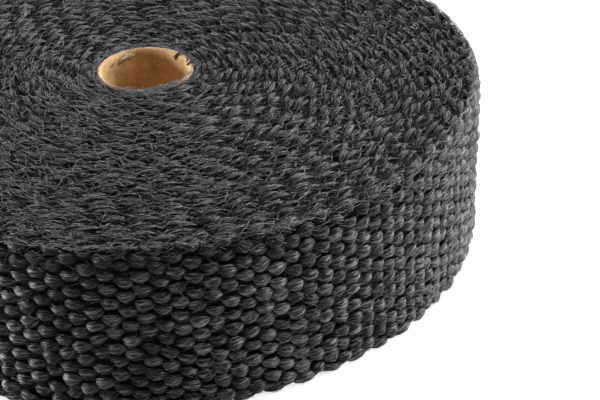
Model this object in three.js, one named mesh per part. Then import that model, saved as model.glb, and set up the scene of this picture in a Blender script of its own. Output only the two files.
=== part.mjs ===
// A roll of woven exhaust heat wrap on a cardboard core, lying flat on its end.
// Millimetres, +Z up. The origin is the centre of the end that the roll lies on.

import * as THREE from "three";

// Driving sizes of the tape
const tapeWidth = 50.8; // the tape's width, which is the roll's height
const turnPitch = 2.07; // what each turn adds to the radius
const turnCount = 40; // turns of tape round the core
const turnStep = 0.6; // how far every second turn's edge lies inside the roll's end
const turnBevel = 0.3; // half the width of the slope between one turn's edge and the next

// Driving sizes of the core
const coreBore = 25.4; // inner diameter of the tube
const coreWall = 1.5; // wall of the tube
const coreInset = 0.5; // how far each end of the tube lies inside the roll's end
const coreClearance = 0.3; // gap between the tube and the first turn

// How finely round shapes are cut
const roundSides = 32; // flats round the roll and the tube
const rimSides = 3; // flats round the soft outer rim

// Sizes that follow from them
const coreRadius = coreBore / 2 + coreWall;
const firstTurnRadius = coreRadius + coreClearance;
const rollRadius = firstTurnRadius + turnCount * turnPitch;
const rimRadius = turnPitch / 2;

// Turns a closed outline of [radius, height] points about the Z axis. The outline runs up its
// outer side, so that the faces point out.
function turned(name, outline, material) {
  const points = [...outline, outline[0]].map(([radius, height]) => new THREE.Vector2(radius, height));
  const geometry = new THREE.LatheGeometry(points, roundSides);
  geometry.rotateX(Math.PI / 2);
  const mesh = new THREE.Mesh(geometry, material);
  mesh.name = name;
  return mesh;
}

// The edge of each turn on one end of the roll, from the outermost turn in to the first. Each
// point is [radius, depth], with depth measured from the end into the roll. Every second turn
// lies a step deeper, which is how the turns show.
function turnEdges() {
  const edges = [];
  for (let turn = turnCount - 1; turn >= 0; turn -= 1) {
    const inner = firstTurnRadius + turn * turnPitch;
    const outer = inner + turnPitch;
    const depth = ((turnCount - 1 - turn) % 2) * turnStep;
    const outermost = turn === turnCount - 1;
    const innermost = turn === 0;
    if (!outermost) edges.push([outer - turnBevel, depth]);
    edges.push([innermost ? inner : inner + turnBevel, depth]);
  }
  return edges;
}

// The soft outer rim, from the outer side round to the end. Each point is [radius, depth].
function rimArc() {
  const arc = [];
  for (let side = 0; side <= rimSides; side += 1) {
    const angle = (side / rimSides) * (Math.PI / 2);
    const radius = rollRadius - rimRadius * (1 - Math.cos(angle));
    arc.push([radius, rimRadius * (1 - Math.sin(angle))]);
  }
  return arc;
}

// The wound tape is one turned solid, with its bore on the core and its turns on both ends.
function wrapRoll() {
  const end = [...rimArc(), ...turnEdges()];
  const top = end.map(([radius, depth]) => [radius, tapeWidth - depth]);
  const bottom = [...end].reverse();
  const material = new THREE.MeshStandardMaterial({ color: 0x2e2f31, roughness: 0.95, metalness: 0 });
  return turned("wrap_roll", [...top, ...bottom], material);
}

// The cardboard tube that the tape is wound on, open at both ends.
function cardboardCore() {
  const low = coreInset;
  const high = tapeWidth - coreInset;
  const outline = [
    [coreRadius, low],
    [coreRadius, high],
    [coreBore / 2, high],
    [coreBore / 2, low],
  ];
  const material = new THREE.MeshStandardMaterial({ color: 0xb98a5a, roughness: 0.85, metalness: 0 });
  return turned("cardboard_core", outline, material);
}

const heatWrap = new THREE.Group();
heatWrap.add(wrapRoll(), cardboardCore());

export default heatWrap;
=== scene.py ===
"""Dresses a flat roll of woven exhaust heat wrap on its cardboard core.

It is laid out as an add-on and run as a script. The tape is laid as one spiral from the core to its cut
outer end. The outermost lap is woven from warp yarns that pass over and under the picks. Both ends of the
roll are nets of edge yarns: for each turn a few plies, and a thin strand that bridges to the next turn.
Loose fibres lie over the ends and the side. All lengths are in metres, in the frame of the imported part.
"""

import math

import bpy
import numpy as np
from mathutils import Matrix, Vector


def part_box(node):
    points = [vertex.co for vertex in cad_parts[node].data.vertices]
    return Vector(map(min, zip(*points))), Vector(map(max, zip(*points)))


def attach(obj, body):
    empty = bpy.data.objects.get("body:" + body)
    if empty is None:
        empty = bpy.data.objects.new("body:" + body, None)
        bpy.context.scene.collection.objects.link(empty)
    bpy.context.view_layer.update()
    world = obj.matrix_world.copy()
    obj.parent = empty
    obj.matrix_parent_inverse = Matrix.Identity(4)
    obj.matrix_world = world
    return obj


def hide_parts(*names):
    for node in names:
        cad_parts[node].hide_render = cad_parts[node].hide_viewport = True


bl_info = {
    "name": "Heat wrap roll",
    "version": (1, 0, 0),
    "blender": (4, 5, 0),
    "location": "3D view > Sidebar > Heat wrap",
    "description": "Builds a roll of woven exhaust heat wrap on a cardboard core",
    "category": "Add Mesh",
}

# The frame, and the sizes that the pieces take from it
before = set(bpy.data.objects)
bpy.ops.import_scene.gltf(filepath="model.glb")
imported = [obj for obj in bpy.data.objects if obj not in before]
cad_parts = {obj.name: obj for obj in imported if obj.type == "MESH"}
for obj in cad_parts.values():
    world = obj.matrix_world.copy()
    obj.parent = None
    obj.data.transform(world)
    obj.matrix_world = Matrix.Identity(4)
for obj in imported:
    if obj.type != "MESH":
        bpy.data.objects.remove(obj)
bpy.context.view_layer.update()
ROLL_LOW, ROLL_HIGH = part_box("wrap_roll")
CORE_LOW, CORE_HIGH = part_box("cardboard_core")
MM = 0.001
TAPE_WIDTH = ROLL_HIGH.z - ROLL_LOW.z
ROLL_RADIUS = ROLL_HIGH.x
CORE_RADIUS = CORE_HIGH.x
CORE_TOP = CORE_HIGH.z
CORE_BOTTOM = CORE_LOW.z
BODY = "root"

# The seed of each group's random draws
SEEDS = {
    "outer_lap": 11,
    "lump_fibres": 13,
    "upper_edges_inner": 21,
    "upper_edges_outer": 22,
    "lower_edges": 23,
    "edge_fibres": 24,
    "loose_fibres": 31,
    "core_tube": 41,
    "torn_flake": 42,
}

# Half thickness of the thinnest and the thickest fibre, over the yarns' lumps and among the loose ones
LUMP_FIBRE = (0.04 * MM, 0.08 * MM)
LOOSE_FIBRE = (0.035 * MM, 0.075 * MM)


def length(name, description, default):
    """A length property, in metres."""
    return bpy.props.FloatProperty(
        name=name, description=description, default=default, min=0.0, precision=5, unit="LENGTH",
        subtype="DISTANCE",
    )


def angle(name, description, default):
    """An angle property, given in degrees."""
    return bpy.props.FloatProperty(
        name=name, description=description, default=math.radians(default), unit="ROTATION", subtype="ANGLE"
    )


def colour(name, description, default):
    """A linear colour property."""
    return bpy.props.FloatVectorProperty(
        name=name, description=description, default=default, min=0.0, max=1.0, size=3, subtype="COLOR"
    )


def count(name, description, default):
    """A whole number of like things."""
    return bpy.props.IntProperty(name=name, description=description, default=default, min=1)


def share(name, description, default):
    """A plain number."""
    return bpy.props.FloatProperty(name=name, description=description, default=default)


class HeatWrapTape(bpy.types.PropertyGroup):
    """Sizes and colours of the woven tape."""

    turn_pitch: length("Turn pitch", "What each turn adds to the radius", 2.07 * MM)
    turns: count("Turns", "Turns of tape round the core", 40)
    core_gap: length("Core gap", "Gap between the core and the first turn", 0.3 * MM)
    slack: length("Slack", "How far the last lap stands proud of the wound solid", 0.8 * MM)
    end_angle: angle("End angle", "Where the cut end of the tape lies, counted from +X", 105.0)
    pick_pitch: length("Pick pitch", "Distance between picks along the tape", 4.3 * MM)
    warps: count("Warp yarns", "Warp yarns across the tape", 23)
    lump_height: length("Lump height", "Height of a warp yarn where it shows on the side", 3.65 * MM)
    lump_depth: length("Lump depth", "Thickness of a warp yarn where it shows on the side", 1.6 * MM)
    lean: share("Lean", "How steeply each lump of the side leans down towards its right end", 0.12)
    skew: share("Skew", "How far the weave shifts along the tape for each unit across it", 0.06)
    edge_dive: length("Edge dive", "How deep an edge yarn dives between its lumps", 1.15 * MM)
    ply_spread: length("Ply spread", "How far apart an edge yarn's three plies lie", 0.36 * MM)
    edge_fibres: count("Edge fibres", "Loose fibres laid over each lump of an edge yarn", 2)
    lump_fibres: count("Lump fibres", "Loose fibres laid over each lump of a warp yarn", 4)
    # The dark yarn colour is the yarn's own charcoal; the light colours are partly lighter fibres and
    # partly painted highlights on them.
    yarn_dark: colour("Dark yarn", "Colour between the fibres", (0.018, 0.018, 0.019))
    yarn_light: colour("Light yarn", "Colour of the side's fibres in the light", (0.38, 0.383, 0.393))
    edge_light: colour("Light edge", "Colour of the edge yarns' fibres in the light", (0.20, 0.202, 0.207))
    fibre_light: colour("Loose fibre", "Colour of the loose fibres", (0.23, 0.232, 0.237))


class HeatWrapCore(bpy.types.PropertyGroup):
    """Sizes and colours of the cardboard tube."""

    wall: length("Wall", "Wall of the tube", 1.5 * MM)
    board: colour("Board", "Colour of the board", (0.66, 0.42, 0.20))
    board_dark: colour("Dark board", "Colour of the board's darker patches", (0.42, 0.27, 0.12))
    cut_edge: colour("Cut edge", "Colour of the cut ends", (0.50, 0.43, 0.37))
    # Colour of the painted shadow that the torn flake casts on the inner wall
    flake_shadow: colour("Shadow", "Colour of the hollows under the torn flake", (0.20, 0.12, 0.045))
    torn: colour("Torn ply", "Colour of the torn flake", (0.92, 0.82, 0.66))


class HeatWrapStage(bpy.types.PropertyGroup):
    """The camera, the lights and the floor."""

    camera_distance: length("Camera distance", "Of the camera from the roll's axis", 432.96 * MM)
    camera_height: length("Camera height", "Of the camera over the floor", 271.74 * MM)
    camera_yaw: angle("Camera yaw", "How far the camera looks to the right of the axis", 5.918)
    camera_pitch: angle("Camera pitch", "How far the camera looks down", 31.883)
    camera_roll: angle("Camera roll", "How far the camera is turned about its view", -1.087)
    lens: share("Lens", "Focal length in millimetres on a 36 mm sensor", 98.876)
    floor_size: length("Floor", "Side of the floor", 6.0)
    floor_colour: colour("Floor colour", "Colour of the floor", (0.5, 0.5, 0.5))
    floor_glow: share("Floor glow", "How strongly the floor glows where the camera sees it", 0.75)


# Random values

def seeded(name):
    """The random draws of that group."""
    return np.random.default_rng(SEEDS[name])


def wander(rng, along, step, size):
    """One value for each distance along, changing smoothly over about one step."""
    knots = rng.uniform(-size, size, int(along.max() / step) + 3)
    place = along / step
    low = np.floor(place).astype(int)
    part = place - low
    part = part * part * (3.0 - 2.0 * part)
    return knots[low] * (1.0 - part) + knots[low + 1] * part


# Meshes from curves

def unit(vectors):
    """The same vectors, one unit long."""
    return vectors / np.linalg.norm(vectors, axis=-1, keepdims=True)


def new_piece(name, points, faces, fibre, material, slot):
    """Makes a mesh object that rides on the roll, with its fibre coordinates if it has them."""
    mesh = bpy.data.meshes.new(name)
    mesh.from_pydata(points.tolist(), [], faces)
    mesh.shade_smooth()
    if fibre is not None:
        mesh.attributes.new("fibre", "FLOAT_VECTOR", "POINT").data.foreach_set("vector", fibre.ravel())
    mesh.materials.append(material)
    piece = bpy.data.objects.new(name, mesh)
    bpy.context.scene.collection.objects.link(piece)
    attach(piece, BODY)
    return piece


def yarn_tubes(centres, outward, half_out, half_side, sides, key):
    """Points, faces and fibre coordinates of closed tubes along rows of centres.

    centres and outward have one row for each yarn. half_out is half the yarn's thickness along outward, and
    half_side is half its width across it. key is one number for each centre, which makes it lighter or
    darker. The fibre coordinates are millimetres along and round the yarn, and its key.
    """
    yarns, steps, _ = centres.shape
    tangent = unit(np.gradient(centres, axis=1))
    out = unit(outward - (outward * tangent).sum(-1, keepdims=True) * tangent)
    side = np.cross(tangent, out)
    turn = np.arange(sides) * (2.0 * math.pi / sides)
    reach_out = (half_out[..., None] * np.cos(turn))[..., None]
    reach_side = (half_side[..., None] * np.sin(turn))[..., None]
    points = centres[:, :, None] + out[:, :, None] * reach_out + side[:, :, None] * reach_side

    number = np.arange(yarns * steps * sides).reshape(yarns, steps, sides)
    ahead = np.roll(number, -1, axis=2)
    quads = np.stack([number[:, :-1], ahead[:, :-1], ahead[:, 1:], number[:, 1:]], axis=-1).reshape(-1, 4)
    faces = quads.tolist()
    faces += number[:, 0, ::-1].tolist()
    faces += number[:, -1].tolist()

    step_length = np.linalg.norm(np.diff(centres, axis=1), axis=-1)
    along = np.concatenate([np.zeros((yarns, 1)), np.cumsum(step_length, axis=1)], axis=1)
    around = np.minimum(turn, 2.0 * math.pi - turn) * half_side.mean()
    fibre = np.empty((yarns, steps, sides, 3))
    fibre[..., 0] = along[..., None] / MM
    fibre[..., 1] = np.where(turn > math.pi, -around, around) / MM
    fibre[..., 2] = key[..., None]
    return points.reshape(-1, 3), faces, fibre.reshape(-1, 3).astype(np.float32)


# The spiral that the tape follows

class Spiral:
    """The middle of the tape's thickness, from the first turn at the core to the cut end."""

    def __init__(self, tape):
        self.pitch = tape.turn_pitch
        self.last = tape.turns - 1.0
        self.start = CORE_RADIUS + tape.core_gap + self.pitch / 2.0
        self.slack = tape.slack
        self.end_angle = tape.end_angle
        self.length = self.distance(self.last)

    def distance(self, turn):
        """Distance along the tape at that turn."""
        return 2.0 * math.pi * (self.start * turn + self.pitch * turn * turn / 2.0)

    def turn(self, distance):
        """The turn at that distance along the tape."""
        return (np.sqrt(self.start**2 + self.pitch * distance / math.pi) - self.start) / self.pitch

    def radius(self, turn):
        """Radius at that turn. The last few turns lie a little looser."""
        loose = np.clip((turn - self.last) / 6.0 + 1.0, 0.0, 1.0)
        return self.start + self.pitch * turn + self.slack * loose

    def angle(self, turn):
        """Angle round the roll at that turn."""
        return self.end_angle + 2.0 * math.pi * (turn - self.last)


def on_roll(radius, angle_round, height):
    """Points from cylinder coordinates."""
    return np.stack([radius * np.cos(angle_round), radius * np.sin(angle_round), height], axis=-1)


def radial(angle_round):
    """Unit vectors that point away from the axis."""
    return np.stack([np.cos(angle_round), np.sin(angle_round), np.zeros_like(angle_round)], axis=-1)


# Materials

def new_material(name):
    """A material with its shader, and its node tree."""
    material = bpy.data.materials.new(name)
    material.use_nodes = True
    tree = material.node_tree
    return material, tree, tree.nodes["Principled BSDF"]


def node(tree, kind, values=None, **settings):
    """A node with its settings, and its inputs from values or from other nodes' outputs."""
    made = tree.nodes.new(kind)
    for name, value in settings.items():
        setattr(made, name, value)
    for name, value in (values or {}).items():
        if isinstance(value, bpy.types.NodeSocket):
            tree.links.new(value, made.inputs[name])
        else:
            made.inputs[name].default_value = value
    return made


def ramp(tree, factor, stops):
    """A colour ramp of (place, colour) stops."""
    made = node(tree, "ShaderNodeValToRGB", {"Fac": factor})
    elements = made.color_ramp.elements
    while len(elements) < len(stops):
        elements.new(0.5)
    for element, (place, tone) in zip(elements, stops):
        element.position = place
        element.color = (*tone, 1.0)
    return made.outputs["Color"]


def noise(tree, place, scale, detail, roughness=0.5):
    """How strong a noise is at each place."""
    values = {"Vector": place, "Scale": scale, "Detail": detail, "Roughness": roughness}
    return node(tree, "ShaderNodeTexNoise", values).outputs["Fac"]


def multiply_add(tree, value, factor, added):
    """A value times a factor, plus what is added."""
    values = {0: value, 1: factor, 2: added}
    return node(tree, "ShaderNodeMath", values, operation="MULTIPLY_ADD").outputs[0]


def raise_relief(tree, shader, height, strength, lift):
    """Makes the surface look raised where height is large."""
    bump = node(tree, "ShaderNodeBump", {"Height": height, "Strength": strength, "Distance": lift})
    tree.links.new(bump.outputs["Normal"], shader.inputs["Normal"])


def yarn_material(name, dark, light, streaks, lift, roughness):
    """Glass fibre yarn: dark charcoal with lighter streaks of fibres along it; the light colour is partly
    the fibres' own and partly painted highlights.
    """
    material, tree, shader = new_material(name)
    shader.inputs["Roughness"].default_value = roughness
    shader.inputs["Specular IOR Level"].default_value = 0.3

    fibre = node(tree, "ShaderNodeAttribute", attribute_name="fibre").outputs["Vector"]
    parts = node(tree, "ShaderNodeSeparateXYZ", {"Vector": fibre}).outputs
    twist = multiply_add(tree, parts["X"], 0.22, parts["Y"])
    apart = node(tree, "ShaderNodeMath", {0: parts["Z"], 1: 7.0}, operation="MULTIPLY").outputs[0]
    laid = node(tree, "ShaderNodeCombineXYZ", {"X": parts["X"], "Y": twist, "Z": apart}).outputs[0]
    stretch = {"Vector": laid, "Scale": (0.35, streaks, 1.0)}
    scaled = node(tree, "ShaderNodeMapping", stretch, vector_type="POINT").outputs[0]
    strands = noise(tree, scaled, scale=1.0, detail=1.8, roughness=0.6)
    place = node(tree, "ShaderNodeTexCoord").outputs["Object"]
    patches = noise(tree, place, scale=60.0, detail=2.0)
    shade = multiply_add(tree, patches, 0.2, strands)
    # The key shifts the tone: each yarn's own lighter or darker tone, and painted shade where the yarn lies
    # deep or under the rim.
    tone = multiply_add(tree, parts["Z"], 0.10, shade)
    middle = tuple(0.8 * a + 0.2 * b for a, b in zip(dark, light))
    # The light end of this ramp is partly the fibres' own tone and partly painted highlight.
    colours = ramp(tree, tone, [(0.60, dark), (0.69, middle), (0.78, light)])
    tree.links.new(colours, shader.inputs["Base Color"])
    raise_relief(tree, shader, strands, strength=1.0, lift=lift)
    return material


def inner_weave_material(name, tone):
    """The dark weave that shows in the gaps between yarns."""
    material, tree, shader = new_material(name)
    shader.inputs["Roughness"].default_value = 0.9
    shader.inputs["Specular IOR Level"].default_value = 0.2
    place = node(tree, "ShaderNodeTexCoord").outputs["Object"]
    fuzz = noise(tree, place, scale=1400.0, detail=3.0)
    light = tuple(5.0 * part for part in tone)
    tree.links.new(ramp(tree, fuzz, [(0.4, tone), (0.7, light)]), shader.inputs["Base Color"])
    raise_relief(tree, shader, fuzz, strength=0.8, lift=0.3 * MM)
    return material


def board_material(name, board, board_dark):
    """Plain brown board, mottled, with short fibres in it."""
    material, tree, shader = new_material(name)
    shader.inputs["Roughness"].default_value = 0.72
    shader.inputs["Specular IOR Level"].default_value = 0.35
    place = node(tree, "ShaderNodeTexCoord").outputs["Object"]
    mottle = noise(tree, place, scale=160.0, detail=4.0, roughness=0.6)
    flat = node(tree, "ShaderNodeMapping", {"Vector": place, "Scale": (1.0, 1.0, 0.8)}).outputs[0]
    specks = noise(tree, flat, scale=900.0, detail=3.0)
    mix = multiply_add(tree, specks, 0.35, mottle)
    light = tuple(1.2 * part for part in board)
    tone = ramp(tree, mix, [(0.48, board_dark), (0.70, board), (0.88, light)])
    tree.links.new(tone, shader.inputs["Base Color"])
    raise_relief(tree, shader, specks, strength=0.35, lift=0.08 * MM)
    return material


def floor_material(name, tone, glow):
    """A lit white table: it looks brighter than the light that it throws back."""
    material, tree, shader = new_material(name)
    shader.inputs["Base Color"].default_value = (*tone, 1.0)
    shader.inputs["Roughness"].default_value = 0.9
    seen = node(tree, "ShaderNodeLightPath").outputs["Is Camera Ray"]
    strength = node(tree, "ShaderNodeMath", {0: seen, 1: glow}, operation="MULTIPLY")
    shader.inputs["Emission Color"].default_value = (1.0, 1.0, 1.0, 1.0)
    tree.links.new(strength.outputs[0], shader.inputs["Emission Strength"])
    return material


# The wound body under the yarns

def outer_turn(spiral, angle_round):
    """The turn that lies outermost at each angle."""
    behind = np.mod(spiral.end_angle - angle_round, 2.0 * math.pi) / (2.0 * math.pi)
    return spiral.last - behind


def ring_mesh(rings):
    """Points and faces of a closed ring, from rows of points that each run once round it."""
    points = np.concatenate(rings)
    number = np.arange(len(points)).reshape(len(rings), -1)
    ahead = np.roll(number, -1, axis=1)
    above = np.roll(number, -1, axis=0)
    quads = np.stack([number, ahead, np.roll(above, -1, axis=1), above], axis=-1).reshape(-1, 4)
    return points, quads.tolist()


def build_wound_body(tape):
    """The turns under the yarns, as one dark ring whose outside follows the spiral."""
    spiral = Spiral(tape)
    columns = 240
    rows = 4
    sunk = 1.5 * MM
    low = 1.0 * MM
    high = TAPE_WIDTH - 2.0 * MM
    # Beside the core the ring rises: distances out from its inner side, and depths below the upper end
    beside_core = ((2.6 * MM, 2.0 * MM), (1.4 * MM, 1.0 * MM), (0.0, 0.9 * MM))
    turn_angle = spiral.end_angle + np.arange(columns) * (2.0 * math.pi / columns)
    outside = spiral.radius(outer_turn(spiral, turn_angle)) - sunk
    inside = np.full(columns, CORE_RADIUS + tape.core_gap)
    rings = []
    for height in np.linspace(low, high, rows):
        rings.append(on_roll(outside, turn_angle, np.full(columns, height)))
    for beyond, depth in beside_core:
        rings.append(on_roll(inside + beyond, turn_angle, np.full(columns, TAPE_WIDTH - depth)))
    rings.append(on_roll(inside, turn_angle, np.full(columns, low)))
    material = inner_weave_material("inner_weave", tape.yarn_dark)
    piece = new_piece("wound_turns", *ring_mesh(rings), None, material, "woven_tape")
    piece.data.set_sharp_from_angle(angle=math.radians(40.0))
    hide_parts("wrap_roll")


# The outermost lap

# Where a warp yarn is measured along one over-and-under, as shares of it from the middle of its lump
LUMP_END = 0.28
LUMP_STEPS = np.array([-LUMP_END, -0.23, -0.15, -0.05, 0.05, 0.15, 0.23, LUMP_END])
LUMP_SIDES = 8

# On the side the rows lie flatter and draw together in pairs round this angle, in radians from +X
FLAT_SIDE = 0.15

# Where a fibre that lies over a lump is measured, from one end to the other
FIBRE_PLACES = np.linspace(-1.0, 1.0, 4)


def lump_shape(part, end=LUMP_END):
    """How full a yarn is along its lump, from 0 at the tucked ends to 1 in the middle."""
    return np.clip(1.0 - (part / end) ** 2, 0.0, 1.0) ** 0.95


def near_rim(height, width):
    """1 at the upper rim, falling to 0 at that width below it."""
    return np.clip(1.0 - (TAPE_WIDTH - height) / width, 0.0, 1.0)


def lump_centres(tape, spiral, rows, lumps, part, jitter, sway):
    """Radius, angle, height, half height and half thickness of the warp yarns at parts of their lumps.

    rows are the yarns across the tape, and lumps the lump's number along the tape counted back from the cut
    end. jitter holds the random values of each lump, and sway how far the yarns wander out and up.
    """
    over_under = 2.0 * tape.pick_pitch
    shown = lump_shape(part + 0.035 * jitter[5] * np.cos(math.pi * part / (2.0 * LUMP_END)))
    height = (rows + 0.5) * (TAPE_WIDTH / tape.warps)
    skewed = tape.skew * (TAPE_WIDTH - height)
    middle = spiral.turn(spiral.length - np.maximum(lumps * over_under - skewed, 0.0))

    # paired moves neighbouring rows together, and flat makes lumps longer and more even along the yarn
    flat = np.clip((np.cos(spiral.angle(middle) - FLAT_SIDE) - 0.50) / 0.40, 0.0, 1.0)
    paired = np.where(rows % 2 == 0, 1.0, -1.0) * (0.06 + 0.20 * flat) * MM
    flat = np.maximum(0.42 * flat, np.where(rows == 0, 0.5, 0.0))

    stretch = 1.0 + 0.55 * flat
    turn = spiral.turn(spiral.length - np.maximum((lumps - part * stretch) * over_under - skewed, 0.0))
    leaning = part * over_under * (0.12 * jitter[1] - tape.lean)
    height = height + 0.26 * MM * jitter[0] * shown + leaning + paired + sway[1]

    dive = 1.1 * MM * (1.0 - 0.9 * flat)
    tucked = np.where(np.abs(part) > LUMP_END - 0.01, 0.35 * MM, 0.0) * (1.0 - 0.7 * flat)
    radius = spiral.radius(turn) + sway[0]
    radius = radius + 0.6 * MM - dive * (1.0 - shown) - tucked
    radius = radius + 0.22 * MM * jitter[2] * (1.0 - 0.4 * flat)

    thin_side = (0.45 + 0.70 * flat) * MM
    full_side = tape.lump_height / 2.0 * (1.0 - 0.40 * flat)
    half_side = (thin_side + (full_side - thin_side) * shown**0.7) * (1.0 + 0.12 * jitter[3])
    thin_out = (0.35 + 0.25 * flat) * MM
    half_out = (thin_out + (tape.lump_depth / 2.0 - thin_out) * shown) * (1.0 + 0.08 * jitter[4])

    upper_rim = near_rim(height, 3.0 * MM)
    half_side = half_side * (1.0 - 0.35 * upper_rim)
    height = np.clip(height, half_side, TAPE_WIDTH - half_side)
    radius = radius - 1.3 * MM * upper_rim**1.5
    return radius, spiral.angle(turn), height, half_side, half_out


class LapRows:
    """Every second warp yarn of the last lap, with the wandering that its yarns and fibres share."""

    def __init__(self, tape, spiral, rng, parity, along, in_out, repeats):
        self.tape = tape
        self.spiral = spiral
        self.along = along
        self.in_out = in_out
        self.rows = np.arange(parity, tape.warps, 2)
        self.numbers = np.arange(repeats, -1, -1) + 0.5 * parity
        self.jitter = rng.normal(0.0, 1.0, (6, len(self.rows), repeats + 1))
        self.up_down = np.stack([wander(rng, along, 30.0 * MM, 0.22 * MM) for _ in self.rows])

    def centres(self, lumps, part, jitter):
        """What lump_centres gives for these rows, with their wandering."""
        distance = np.maximum(lumps - part, 0.0) * 2.0 * self.tape.pick_pitch
        out = np.interp(distance, self.along, self.in_out)
        up = np.stack([np.interp(row, self.along, curve) for row, curve in zip(distance, self.up_down)])
        rows = self.rows.reshape(-1, *[1] * (part.ndim - 1))
        return lump_centres(self.tape, self.spiral, rows, lumps, part, jitter, (out, up))

    def yarns(self):
        """The yarns, as tubes."""
        steps = len(LUMP_STEPS)
        shape = (len(self.rows), len(self.numbers) * steps)
        lumps = np.broadcast_to(np.repeat(self.numbers, steps), shape)
        part = np.broadcast_to(np.tile(LUMP_STEPS, len(self.numbers)), shape)
        jitter = np.repeat(self.jitter, steps, axis=2)
        radius, angle_round, height, half_side, half_out = self.centres(lumps, part, jitter)
        # Painted shade: under the rim the yarns are coloured darker, except where the rows lie flat
        off_flat = np.clip((0.75 - np.cos(angle_round - FLAT_SIDE)) / 0.5, 0.0, 1.0)
        key = 0.5 + 0.10 * jitter[5] - 1.5 * off_flat * near_rim(height, 8.0 * MM)
        centres = on_roll(radius, angle_round, height)
        return yarn_tubes(centres, radial(angle_round), half_out, half_side, LUMP_SIDES, key)

    def fibres(self, rng):
        """One fibre over each lump, as its centres and the directions away from the axis."""
        each = self.jitter[0].shape
        lean = np.radians(rng.uniform(-65.0, 65.0, each))[..., None]
        middle = rng.uniform(-0.05, 0.05, each)[..., None]
        reach = rng.uniform(0.10, 0.24, each)[..., None]
        part = middle + reach * FIBRE_PLACES
        lumps = self.numbers[None, :, None] + np.zeros_like(part)
        radius, angle_round, height, half_side, half_out = self.centres(lumps, part, self.jitter[..., None])
        drift = lean + rng.normal(0.0, 0.45, each)[..., None] * FIBRE_PLACES
        proud = rng.uniform(0.03, 0.22, each)[..., None] * MM
        radius = radius + (half_out + proud) * np.cos(drift)
        height = np.clip(height + (half_side + proud) * np.sin(drift), 0.15 * MM, TAPE_WIDTH)
        centres = on_roll(radius, angle_round, height)
        return centres.reshape(-1, 4, 3), radial(angle_round).reshape(-1, 4, 3)


def build_outer_lap(tape):
    """The warp yarns of the last lap, which show on the side as rows of lumps, and the fibres over them."""
    spiral = Spiral(tape)
    rng = seeded("outer_lap")
    material = yarn_material(
        "side_yarn", tape.yarn_dark, tape.yarn_light, streaks=2.8, lift=0.6 * MM, roughness=0.5
    )
    tuck = 9.0 * MM
    lap = spiral.distance(spiral.last) - spiral.distance(spiral.last - 1.0) + tuck
    repeats = int(lap / (2.0 * tape.pick_pitch))
    along = np.linspace(0.0, lap, 400)
    in_out = wander(rng, along, 42.0 * MM, 0.35 * MM)
    fibres = []
    for parity, name in enumerate(("outer_lap_yarns_a", "outer_lap_yarns_b")):
        rows = LapRows(tape, spiral, rng, parity, along, in_out, repeats)
        new_piece(name, *rows.yarns(), material, "woven_tape")
        fibres += [rows.fibres(rng) for _ in range(tape.lump_fibres)]
    centres, outward = [np.concatenate(parts) for parts in zip(*fibres)]
    add_fibres("lump_fibres", tape, centres, outward, seeded("lump_fibres"), LUMP_FIBRE)


# The nets of edge yarns on both ends

# How far an edge yarn's lump reaches from its middle, as a share of one over-and-under
EDGE_END = 0.43
EDGE_STEPS = LUMP_STEPS * (EDGE_END / LUMP_END)
EDGE_SIDES = 3


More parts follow.
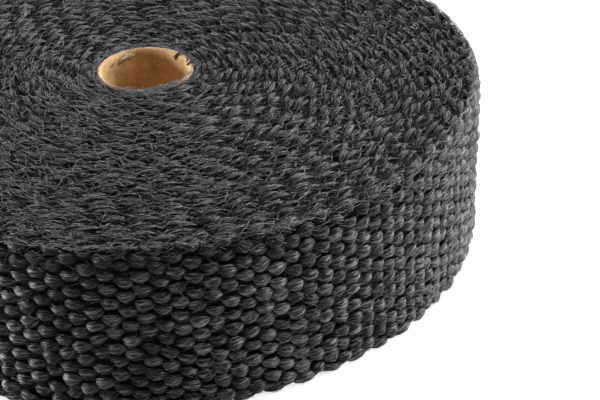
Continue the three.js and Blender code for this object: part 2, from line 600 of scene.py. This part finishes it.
class EdgeRun:
    """The edges of a run of turns on one end, with the wandering that their yarns and fibres share."""

    def __init__(self, tape, spiral, rng, first, last, top):
        self.tape = tape
        self.spiral = spiral
        self.top = top
        self.last_lap_sunk = 0.0 if top else 0.7 * MM
        self.rng = rng
        self.begin = spiral.distance(first)
        self.end = spiral.distance(last)
        self.over_under = 2.0 * tape.pick_pitch
        self.lumps = int((self.end - self.begin) / self.over_under)
        self.along = np.linspace(self.begin, self.end, int((self.end - self.begin) / (0.5 * MM)))
        from_begin = self.along - self.begin
        self.in_out = wander(self.rng, from_begin, 9.0 * MM, 0.28 * MM)
        slow_rise = wander(self.rng, from_begin, 55.0 * MM, 0.22 * MM)
        self.up_down = slow_rise + wander(self.rng, from_begin, 11.0 * MM, 0.20 * MM)
        self.shift = wander(self.rng, from_begin, 26.0 * MM, 1.5 * MM)
        self.jitter = self.rng.normal(0.0, 1.0, (6, self.lumps))

    def below_end(self, radius, angle_round, depth):
        """Points at that depth in from this end of the roll."""
        return on_roll(radius, angle_round, TAPE_WIDTH - depth if self.top else depth)

    def tubes(self, radius, angle_round, depth, half_out, half_side, key):
        """One yarn along these places, as a tube."""
        centres = self.below_end(radius, angle_round, depth)[None]
        outward = np.broadcast_to(np.array([0.0, 0.0, 1.0 if self.top else -1.0]), centres.shape)
        return yarn_tubes(centres, outward, half_out[None], half_side[None], EDGE_SIDES, key[None])

    def shifted(self, distance):
        """Distances along the tape, moved as the weave wanders."""
        return np.clip(distance + np.interp(distance, self.along, self.shift), self.begin, self.end)

    def last_lap(self, distance):
        """1 on the last lap and 0 on the others."""
        return np.clip(self.spiral.turn(distance) - self.spiral.last + 1.0, 0.0, 0.05) / 0.05

    def centres(self, distance, part, jitter):
        """Radius, angle and depth of an edge yarn at parts of its lumps, and how full the lump is.

        Between its lumps the edge yarn dives into the roll, which leaves the pits between the turns; they
        are dark from real shade and from painted shade where the yarn lies deep.
        """
        shown = lump_shape(part + 0.03 * jitter[5] * np.cos(math.pi * part / (2.0 * EDGE_END)), EDGE_END)
        turn = self.spiral.turn(distance)
        last_lap = self.last_lap(distance)
        leaning = (0.11 * jitter[1] - 0.10) * (part * self.over_under)
        offset = leaning + 0.20 * MM * jitter[0] + np.interp(distance, self.along, self.in_out)
        offset = offset * (1.0 - 0.5 * last_lap) - 0.75 * MM * last_lap
        depth = 0.45 * MM + self.tape.edge_dive * (1.0 - shown) + 0.18 * MM * jitter[2]
        depth = depth + np.interp(distance, self.along, self.up_down)
        return self.spiral.radius(turn) + offset, self.spiral.angle(turn), depth, shown

    def plies(self):
        """The plies of the edge yarn, as tubes."""
        part = np.tile(EDGE_STEPS, self.lumps)
        number = np.repeat(np.arange(self.lumps), len(EDGE_STEPS))
        wide = 0.47 if self.top else 0.7
        tubes = []
        for ply in (-1.0, 0.0, 1.0) if self.top else (0.0,):
            own = self.rng.normal(0.0, 1.0, (4, self.lumps))[:, number]
            moved = part + 0.035 * own[0]
            distance = self.shifted(self.begin + (number + 0.5 + moved) * self.over_under)
            radius, angle_round, depth, shown = self.centres(distance, part, self.jitter[:, number])
            beside = ply * self.tape.ply_spread * (1.0 + 0.25 * own[1]) + 0.10 * MM * own[2]
            radius = radius + beside * (0.25 + 0.75 * shown)
            half_side = (0.24 * MM + (wide - 0.24) * MM * shown) * (1.0 + 0.15 * own[3])
            half_out = 0.14 * MM + 0.18 * MM * shown
            depth = depth + (0.12 * MM * abs(ply) + 0.12 * MM * own[2]) * shown
            depth = np.maximum(depth + self.last_lap_sunk * self.last_lap(distance), half_out)
            # The key falls with depth, which paints shade down in the pits
            key = 0.9 + 0.2 * own[0] - 0.9 * depth / MM
            tubes.append(self.tubes(radius, angle_round, depth, half_out, half_side, key))
        return tubes

    def bridging_strand(self):
        """The thin strand that swings from each turn to the next, as a tube."""
        rng = self.rng
        steps_a_pick = 4.2 if self.top else 1.0
        steps = int((self.end - self.begin) / self.tape.pick_pitch * steps_a_pick)
        distance = np.linspace(self.begin, self.end, steps)
        from_start = distance - self.begin
        turn = self.spiral.turn(distance)
        last_lap = self.last_lap(distance)
        phase = 2.0 * math.pi * distance / self.tape.pick_pitch + wander(rng, from_start, 6.0 * MM, 1.6)
        offset = self.spiral.pitch / 2.0 + 0.85 * MM * np.sin(phase)
        offset = offset + wander(rng, from_start, 3.0 * MM, 0.3 * MM) - 1.9 * MM * last_lap
        depth = 1.0 * MM - 0.30 * MM * np.cos(2.0 * phase) + wander(rng, from_start, 5.0 * MM, 0.5 * MM)
        half_side = 0.30 * MM + wander(rng, from_start, 2.5 * MM, 0.10 * MM)
        half_out = np.full(steps, 0.20 * MM)
        depth = np.maximum(depth + self.last_lap_sunk * last_lap, half_out)
        # The key falls with depth, which paints shade down in the pits
        key = 0.9 + wander(rng, from_start, 9.0 * MM, 0.3) - 0.7 * depth / MM
        radius = self.spiral.radius(turn) + offset
        return self.tubes(radius, self.spiral.angle(turn), depth, half_out, half_side, key)

    def fibres(self):
        """One fibre over each lump, as its centres."""
        rng, lumps = self.rng, self.lumps
        middle = rng.uniform(-0.12, 0.12, lumps)[:, None]
        reach = rng.uniform(0.12, 0.30, lumps)[:, None]
        part = middle + reach * FIBRE_PLACES
        distance = self.shifted(self.begin + (np.arange(lumps)[:, None] + 0.5 + part) * self.over_under)
        radius, angle_round, depth, _ = self.centres(distance, part, self.jitter[..., None])
        across = rng.uniform(-0.65, 0.65, lumps)[:, None]
        across = across + rng.normal(0.0, 0.5, lumps)[:, None] * (part - middle) / reach
        depth = depth - 0.30 * MM + 0.25 * MM * across**2
        return self.below_end(radius + across * MM, angle_round, np.maximum(depth, -0.35 * MM))


def join_tubes(tubes):
    """Several tubes' points, faces and fibre coordinates as one."""
    points, faces, fibre = [], [], []
    used = 0
    for some_points, some_faces, some_fibre in tubes:
        points.append(some_points)
        faces += [[corner + used for corner in face] for face in some_faces]
        fibre.append(some_fibre)
        used += len(some_points)
    return np.concatenate(points), faces, np.concatenate(fibre)


def build_turn_edges(tape):
    """The nets on the roll's two ends, and the fibres over the upper one."""
    spiral = Spiral(tape)
    material = yarn_material(
        "edge_yarn", tape.yarn_dark, tape.edge_light, streaks=2.6, lift=0.3 * MM, roughness=0.55
    )
    half_way = float(spiral.turn(spiral.length / 2.0))
    nets = (
        ("upper_edges_inner", 0.0, half_way, True),
        ("upper_edges_outer", half_way, spiral.last, True),
        ("lower_edges", 0.0, spiral.last, False),
    )
    fibres = []
    for name, first, last, top in nets:
        run = EdgeRun(tape, spiral, seeded(name), first, last, top)
        tubes = run.plies()
        tubes.append(run.bridging_strand())
        fibres += [run.fibres() for _ in range(tape.edge_fibres if top else 0)]
        new_piece(name, *join_tubes(tubes), material, "woven_tape")
    centres = np.concatenate(fibres)
    outward = np.broadcast_to([0.0, 0.0, 1.0], centres.shape)
    add_fibres("edge_fibres", tape, centres, outward, seeded("edge_fibres"), LUMP_FIBRE)


# Loose fibres

# Where a loose fibre is measured, from one end to the other, as shares of its length from the middle
LOOSE_STEPS = np.linspace(-0.5, 0.5, 4)


def add_fibres(name, tape, centres, outward, rng, thickness):
    """Makes fine fibres along rows of centres, as one piece."""
    material = bpy.data.materials.get("loose_fibre") or yarn_material(
        "loose_fibre", tape.edge_light, tape.fibre_light, streaks=1.0, lift=0.01 * MM, roughness=0.5
    )
    number, steps, _ = centres.shape
    thick = rng.uniform(*thickness, number)[:, None] * np.ones((1, steps))
    key = rng.uniform(0.0, 1.0, number)[:, None] * np.ones((1, steps))
    new_piece(name, *yarn_tubes(centres, outward, thick, thick, 3, key), material, "woven_tape")


def curved_fibres(reach, heading, bend):
    """How far fibres run forward and sideways at each step, from their length, heading and bend."""
    forward = reach[:, None] * LOOSE_STEPS * np.cos(heading)[:, None]
    turned = heading[:, None] + bend[:, None] * LOOSE_STEPS
    sideways = np.cumsum(np.sin(turned), axis=1) * reach[:, None] / len(LOOSE_STEPS)
    return forward, sideways


def flat_fibres(rng, number, top):
    """Loose fibres in tufts over an end of the roll, more of them where the upper end is rubbed."""
    inner = CORE_RADIUS + 0.5 * MM
    outer = ROLL_RADIUS - (0.4 if top else 3.4) * MM
    tufts = number // 4
    tuft_radius = np.sqrt(rng.uniform(inner**2, outer**2, tufts))
    rubbed = rng.uniform(0.0, 1.0, tufts) < (0.62 if top else 0.0)
    tuft_angle = np.where(rubbed, rng.normal(-2.4, 0.6, tufts), rng.uniform(0.0, 2.0 * math.pi, tufts))
    tuft_heading = rng.normal(0.15, np.where(rubbed, 0.7, 0.4), tufts)
    tuft = rng.integers(0, tufts, number)

    # Fibres that would start outside the end are mirrored back onto it
    radius = inner + np.abs(tuft_radius[tuft] + rng.normal(0.0, 3.0 * MM, number) - inner)
    radius = outer - np.abs(outer - radius)
    angle_round = tuft_angle[tuft] + rng.normal(0.0, 3.0 * MM, number) / radius
    reach = rng.uniform(1.8, 7.0, number) * MM
    heading = tuft_heading[tuft] + rng.normal(0.0, 0.35, number)
    bend = rng.normal(0.0, 0.9, number)
    forward, sideways = curved_fibres(reach, heading, bend)
    sideways = sideways - sideways.mean(axis=1, keepdims=True)
    around = angle_round[:, None] + forward / radius[:, None]
    away = np.maximum(radius[:, None] + sideways, inner)

    # What reaches past the rim bends down over it
    past_rim = np.maximum(away - outer, 0.0)
    away = away - 0.7 * past_rim
    rise = rng.uniform(-0.30, 0.50, number)[:, None] * MM - 1.4 * MM * LOOSE_STEPS**2 - 0.8 * past_rim
    height = TAPE_WIDTH + rise if top else np.maximum(-rise, 0.1 * MM)
    return on_roll(away, around, height), np.broadcast_to([0.0, 0.0, 1.0], (*away.shape, 3))


def side_fibres(rng, number, spiral):
    """Loose fibres over the side: many under the rim, and some combed along the rows at the right."""
    rank = rng.uniform(0.0, 1.0, number)
    under_rim = rng.uniform(0.0, 1.0, number) < 0.32
    height = TAPE_WIDTH * np.where(under_rim, 1.0 - 0.10 * rank, rank)
    combed = rng.uniform(0.0, 1.0, number) < 0.4
    combed_angle = rng.normal(-0.15, 0.4, number)
    angle_round = np.where(combed, combed_angle, rng.uniform(0.0, 2.0 * math.pi, number))
    reach = rng.uniform(2.0, 7.0, number) * MM
    heading = rng.normal(0.0, 0.85, number) * np.where(combed, 0.4, 1.0)
    bend = rng.normal(0.0, 0.8, number)
    forward, sideways = curved_fibres(reach, heading, bend)
    radius = spiral.radius(outer_turn(spiral, angle_round)) + 1.0 * MM
    around = angle_round[:, None] + forward / radius[:, None]
    climb = np.maximum(height[:, None] + sideways, 1.8 * MM)

    # What reaches past the rim bends in over it
    past_rim = np.maximum(climb - (TAPE_WIDTH - 0.6 * MM), 0.0)
    climb = climb - 0.95 * past_rim
    rise = rng.uniform(-0.15, 0.45, number)[:, None] * MM - 1.8 * MM * LOOSE_STEPS**2
    away = radius[:, None] + rise - 0.8 * past_rim - 1.0 * MM * near_rim(climb, 3.0 * MM) ** 2
    return on_roll(away, around, climb), radial(around)


def core_fuzz(rng, number):
    """Short fibres beside the core, some of which hang over the front of its rim."""
    over_rim = rng.uniform(0.0, 1.0, number) < 0.35
    front_angle = rng.normal(-1.3, 0.32, number)
    angle_round = np.where(over_rim, front_angle, rng.uniform(0.0, 2.0 * math.pi, number))
    over = rng.triangular(-1.9, -0.4, 1.2, number)
    beside = rng.triangular(-0.6, 0.3, 2.5, number)
    radius = CORE_RADIUS + np.where(over_rim, over, beside) * MM
    reach = rng.uniform(1.5, 4.5, number) * MM
    heading = rng.normal(0.0, 0.8, number)
    ahead = reach[:, None] * LOOSE_STEPS
    around = angle_round[:, None] + ahead * np.cos(heading)[:, None] / radius[:, None]
    away = radius[:, None] + ahead * np.sin(heading)[:, None] * 0.7
    away = np.maximum(away, CORE_RADIUS - np.where(over_rim, 2.0, 1.0)[:, None] * MM)
    lift = rng.uniform(-0.45, 0.20, number)[:, None] * MM - 1.2 * MM * LOOSE_STEPS**2
    return on_roll(away, around, TAPE_WIDTH + lift), np.broadcast_to([0.0, 0.0, 1.0], (*away.shape, 3))


def build_loose_fibres(tape):
    """Fine fibres that lie over the ends, the rim and the side."""
    rng = seeded("loose_fibres")
    groups = (
        ("core_fuzz", core_fuzz(rng, number=420)),
        ("loose_fibres_upper", flat_fibres(rng, number=3600, top=True)),
        ("loose_fibres_lower", flat_fibres(rng, number=400, top=False)),
        ("loose_fibres_side", side_fibres(rng, number=4200, spiral=Spiral(tape))),
    )
    for name, (centres, outward) in groups:
        add_fibres(name, tape, centres, outward, rng, LOOSE_FIBRE)


# The cardboard core

def build_core(core):
    """The cardboard tube, with its cut ends."""
    rng = seeded("core_tube")
    columns = 192
    inside = CORE_RADIUS - core.wall
    round_off = 0.4 * MM
    outline = [
        (CORE_RADIUS, CORE_BOTTOM + round_off),
        (CORE_RADIUS, CORE_TOP - round_off),
        (CORE_RADIUS - round_off, CORE_TOP),
        (inside + 0.75 * MM, CORE_TOP),
        (inside + 0.25 * MM, CORE_TOP - 0.45 * MM),
        (inside, CORE_TOP - 1.2 * MM),
        (inside, CORE_TOP - 4.0 * MM),
        (inside, (CORE_TOP + CORE_BOTTOM) / 2.0),
        (inside, CORE_BOTTOM + 4.0 * MM),
        (inside, CORE_BOTTOM + round_off),
        (inside + round_off, CORE_BOTTOM),
        (CORE_RADIUS - round_off, CORE_BOTTOM),
    ]
    turned = np.arange(columns) * (2.0 * math.pi / columns)
    rough = rng.normal(0.0, 0.05 * MM, (len(outline), columns))
    rings = []
    for (radius, height), rough_row in zip(outline, rough):
        near_end = min(CORE_TOP - height, height - CORE_BOTTOM) < 0.1 * MM
        lift = rough_row if near_end else 0.0
        rings.append(on_roll(np.full(columns, radius), turned, height + lift * np.ones(columns)))
    material = board_material("kraft_board", core.board, core.board_dark)
    piece = new_piece("core_tube", *ring_mesh(rings), None, material, "core_board")
    cut_dark = tuple(0.6 * part for part in core.cut_edge)
    piece.data.materials.append(board_material("cut_board", core.cut_edge, cut_dark))
    for polygon in piece.data.polygons:
        if abs(polygon.normal.z) > 0.8:
            polygon.material_index = 1
    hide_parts("cardboard_core")
    build_flake(core, inside)


def bent_sheet(near, far):
    """Points and faces of a thin closed sheet from the grids of its two sides, and no fibre coordinates."""
    long_steps, wide_steps, _ = near.shape
    number = np.arange(long_steps * wide_steps).reshape(long_steps, wide_steps)
    corners = (number[:-1, :-1], number[:-1, 1:], number[1:, 1:], number[1:, :-1])
    front = np.stack(corners, axis=-1).reshape(-1, 4)
    back = front[:, ::-1] + number.size
    edge = np.concatenate([number[:-1, 0], number[-1, :-1], number[:0:-1, -1], number[0, :0:-1]])
    ahead = np.roll(edge, -1)
    rim = np.stack([edge, ahead, ahead + number.size, edge + number.size], axis=-1)
    points = np.concatenate([near.reshape(-1, 3), far.reshape(-1, 3)])
    return points, front.tolist() + back.tolist() + rim.tolist(), None


def wall_patch(rng, inside, start, sweep, depths, half_width, curl, thick):
    """A ragged patch on the tube's inner wall, as near and far grids.

    depths are how far below the rim its two ends lie, and curl is how far its free end stands off the wall.
    """
    steps = max(6, int(14 * sweep / math.radians(28.0)))
    along, across = np.meshgrid(np.linspace(0.0, 1.0, steps), np.linspace(-1.0, 1.0, 5), indexing="ij")
    ragged = 1.0 + rng.uniform(-0.45, 0.25, (steps, 1))
    width = half_width * ragged * np.sin(math.pi * np.clip(along * 0.92 + 0.04, 0.0, 1.0)) ** 0.7
    depth = depths[0] + (depths[1] - depths[0]) * along
    depth = depth + 0.5 * half_width * rng.uniform(-1.0, 1.0, (steps, 1))
    lifted = curl * along**2 * (0.6 + 0.4 * across) + 0.06 * MM
    turned = start + sweep * along
    height = CORE_TOP - depth + across * width
    return on_roll(inside - lifted - thick, turned, height), on_roll(inside - lifted, turned, height)


def build_flake(core, inside):
    """A pale flake of the board's inner ply, torn loose at one end, and dark patches under it that are its
    painted shadow.
    """
    rng = seeded("torn_flake")
    degree = math.radians(1.0)
    near, far = wall_patch(
        rng, inside, start=103.0 * degree, sweep=25.0 * degree, depths=(1.3 * MM, 1.5 * MM),
        half_width=0.60 * MM, curl=0.9 * MM, thick=0.12 * MM,
    )
    torn = board_material("torn_ply", core.torn, tuple(0.7 * part for part in core.torn))
    new_piece("torn_flake", *bent_sheet(near, far), torn, "core_board")
    # Painted shadow under the flake: each patch's start and sweep in degrees, and depth below the rim and
    # half width in millimetres
    shadows = ((106.0, 20.0, 2.6, 0.6), (122.0, 9.0, 2.9, 0.5), (134.0, 9.0, 2.2, 0.45))
    # These dark patches paint the flake's shadow on the wall
    dark = board_material("shadow_paint", tuple(2.0 * part for part in core.flake_shadow), core.flake_shadow)
    for place, (start, sweep, depth, half_width) in enumerate(shadows):
        near, far = wall_patch(
            rng, inside, start * degree, sweep * degree, depths=(depth * MM, (depth + 0.3) * MM),
            half_width=half_width * MM, curl=0.0, thick=0.04 * MM,
        )
        new_piece(f"painted_shadow_{place + 1}", *bent_sheet(near, far), dark, "core_board")


def build_threads(inside):
    """Loose dark threads of the first turn that hang over the core's rim."""
    material = bpy.data.materials["edge_yarn"]
    half_thread = 0.26 * MM
    # Each thread's points: an angle in degrees, and millimetres out from the inner wall and above the rim
    threads = (
        (
            (46.0, -0.2, -1.7), (43.0, -0.2, -0.7), (38.0, 0.5, 0.4), (32.0, 1.8, 0.8), (24.0, 2.3, 0.8),
            (17.0, 1.9, 0.6), (12.0, 1.0, 0.3),
        ),
        (
            (44.0, -0.2, -2.4), (41.0, -0.2, -1.0), (36.0, 0.3, 0.3), (30.0, 1.2, 0.7), (23.0, 1.4, 0.7),
            (16.0, 0.6, 0.4), (13.0, -0.2, -0.5),
        ),
        ((9.0, -0.4, -0.9), (6.0, 0.2, 0.2), (4.0, 1.2, 0.5), (2.0, 2.6, 0.5), (-2.0, 4.0, 0.3)),
        ((4.0, -0.3, -0.6), (6.0, 0.3, 0.3), (8.0, 1.5, 0.5), (10.0, 3.0, 0.4)),
    )
    for place, thread in enumerate(threads):
        turned, away, lift = np.array(thread).T
        centres = on_roll(inside + away * MM, np.radians(turned), CORE_TOP + lift * MM)[None]
        half = np.full((1, len(thread)), half_thread)
        outward = np.broadcast_to([0.0, 0.0, 1.0], centres.shape) + 0.2 * radial(np.radians(turned))[None]
        tube = yarn_tubes(centres, outward, half, half, 6, np.zeros_like(half))
        piece = new_piece(f"loose_thread_{place + 1}", *tube, material, "woven_tape")
        smooth = piece.modifiers.new("smooth", "SUBSURF")
        smooth.levels = 2
        smooth.render_levels = 2


# The stage

def build_stage(stage):
    """The floor, the lights and the camera."""
    scene = bpy.context.scene
    half = stage.floor_size / 2.0
    mesh = bpy.data.meshes.new("floor")
    corners = [(-half, -half, 0.0), (half, -half, 0.0), (half, half, 0.0), (-half, half, 0.0)]
    mesh.from_pydata(corners, [], [(0, 1, 2, 3)])
    mesh.materials.append(floor_material("floor_white", stage.floor_colour, stage.floor_glow))
    floor = bpy.data.objects.new("floor", mesh)
    scene.collection.objects.link(floor)

    # Name, place, side and power of each square light, which faces the middle of the roll's lower end
    lights = (
        ("overhead", (0.4, 0.3, 1.5), 1.2, 7.0),
        ("left", (-1.3, 0.2, 0.2), 0.45, 34.0),
        ("right", (1.3, 0.4, 0.35), 1.4, 58.0),
        ("back", (-0.2, 1.5, 0.6), 0.8, 7.0),
    )
    for name, place, size, power in lights:
        light = bpy.data.lights.new(name, "AREA")
        light.shape = "SQUARE"
        light.size = size
        light.energy = power
        lamp = bpy.data.objects.new(name, light)
        lamp.location = place
        lamp.rotation_euler = (-Vector(place)).to_track_quat("-Z", "Y").to_euler()
        scene.collection.objects.link(lamp)

    world = bpy.data.worlds.new("studio")
    world.use_nodes = True
    tree = world.node_tree
    seen = node(tree, "ShaderNodeLightPath").outputs["Is Camera Ray"]
    strength = node(tree, "ShaderNodeMath", {0: seen, 1: 0.9, 2: 0.1}, operation="MULTIPLY_ADD").outputs[0]
    tree.links.new(strength, tree.nodes["Background"].inputs["Strength"])
    tree.nodes["Background"].inputs["Color"].default_value = (1.0, 1.0, 1.0, 1.0)
    scene.world = world
    scene.view_settings.view_transform = "Standard"

    yaw, pitch, roll = stage.camera_yaw, stage.camera_pitch, stage.camera_roll
    ahead = Vector((math.sin(yaw) * math.cos(pitch), math.cos(yaw) * math.cos(pitch), -math.sin(pitch)))
    right = Vector((math.cos(yaw), -math.sin(yaw), 0.0))
    up = right.cross(ahead)
    rolled_right = right * math.cos(roll) + up * math.sin(roll)
    rolled_up = up * math.cos(roll) - right * math.sin(roll)
    turned = Matrix((rolled_right, rolled_up, -ahead)).transposed().to_4x4()
    camera_data = bpy.data.cameras.new("camera")
    camera_data.sensor_width = 36.0
    camera_data.lens = stage.lens
    camera_data.clip_end = 20.0
    camera = bpy.data.objects.new("camera", camera_data)
    camera.matrix_world = Matrix.Translation((0.0, -stage.camera_distance, stage.camera_height)) @ turned
    scene.collection.objects.link(camera)
    scene.camera = camera


# The operators

class HEATWRAP_OT_wound_turns(bpy.types.Operator):
    """Builds the wound turns under the yarns"""

    bl_idname = "heatwrap.wound_turns"
    bl_label = "Wound turns"

    def execute(self, context):
        build_wound_body(context.scene.heatwrap_tape)
        return {"FINISHED"}


class HEATWRAP_OT_outer_lap(bpy.types.Operator):
    """Weaves the outermost lap of the tape"""

    bl_idname = "heatwrap.outer_lap"
    bl_label = "Outer lap"

    def execute(self, context):
        build_outer_lap(context.scene.heatwrap_tape)
        return {"FINISHED"}


class HEATWRAP_OT_turn_edges(bpy.types.Operator):
    """Lays the edge yarns of every turn on both ends of the roll"""

    bl_idname = "heatwrap.turn_edges"
    bl_label = "Turn edges"

    def execute(self, context):
        build_turn_edges(context.scene.heatwrap_tape)
        return {"FINISHED"}


class HEATWRAP_OT_loose_fibres(bpy.types.Operator):
    """Scatters loose fibres over the tape"""

    bl_idname = "heatwrap.loose_fibres"
    bl_label = "Loose fibres"

    def execute(self, context):
        build_loose_fibres(context.scene.heatwrap_tape)
        build_threads(CORE_RADIUS - context.scene.heatwrap_core.wall)
        return {"FINISHED"}


class HEATWRAP_OT_cardboard_core(bpy.types.Operator):
    """Builds the cardboard tube that the tape is wound on"""

    bl_idname = "heatwrap.cardboard_core"
    bl_label = "Cardboard core"

    def execute(self, context):
        build_core(context.scene.heatwrap_core)
        return {"FINISHED"}


class HEATWRAP_OT_stage(bpy.types.Operator):
    """Sets up the floor, the lights and the camera"""

    bl_idname = "heatwrap.stage"
    bl_label = "Stage"

    def execute(self, context):
        build_stage(context.scene.heatwrap_stage)
        return {"FINISHED"}


OPERATORS = (
    HEATWRAP_OT_wound_turns,
    HEATWRAP_OT_outer_lap,
    HEATWRAP_OT_turn_edges,
    HEATWRAP_OT_loose_fibres,
    HEATWRAP_OT_cardboard_core,
    HEATWRAP_OT_stage,
)


class HEATWRAP_PT_panel(bpy.types.Panel):
    """Lists the roll's pieces in the sidebar"""

    bl_idname = "HEATWRAP_PT_panel"
    bl_label = "Heat wrap roll"
    bl_space_type = "VIEW_3D"
    bl_region_type = "UI"
    bl_category = "Heat wrap"

    def draw(self, context):
        for operator in OPERATORS:
            self.layout.operator(operator.bl_idname, text=operator.bl_label)


CLASSES = (HeatWrapTape, HeatWrapCore, HeatWrapStage, *OPERATORS, HEATWRAP_PT_panel)


def register():
    """Registers the classes and hangs the settings on the scene."""
    for item in CLASSES:
        bpy.utils.register_class(item)
    bpy.types.Scene.heatwrap_tape = bpy.props.PointerProperty(type=HeatWrapTape)
    bpy.types.Scene.heatwrap_core = bpy.props.PointerProperty(type=HeatWrapCore)
    bpy.types.Scene.heatwrap_stage = bpy.props.PointerProperty(type=HeatWrapStage)


def unregister():
    """Takes the settings and the classes away again."""
    del bpy.types.Scene.heatwrap_tape
    del bpy.types.Scene.heatwrap_core
    del bpy.types.Scene.heatwrap_stage
    for item in reversed(CLASSES):
        bpy.utils.unregister_class(item)


def main():
    """Builds everything in order."""
    register()
    bpy.ops.heatwrap.stage()
    bpy.ops.heatwrap.wound_turns()
    bpy.ops.heatwrap.outer_lap()
    bpy.ops.heatwrap.turn_edges()
    bpy.ops.heatwrap.loose_fibres()
    bpy.ops.heatwrap.cardboard_core()


if __name__ == "__main__":
    main()
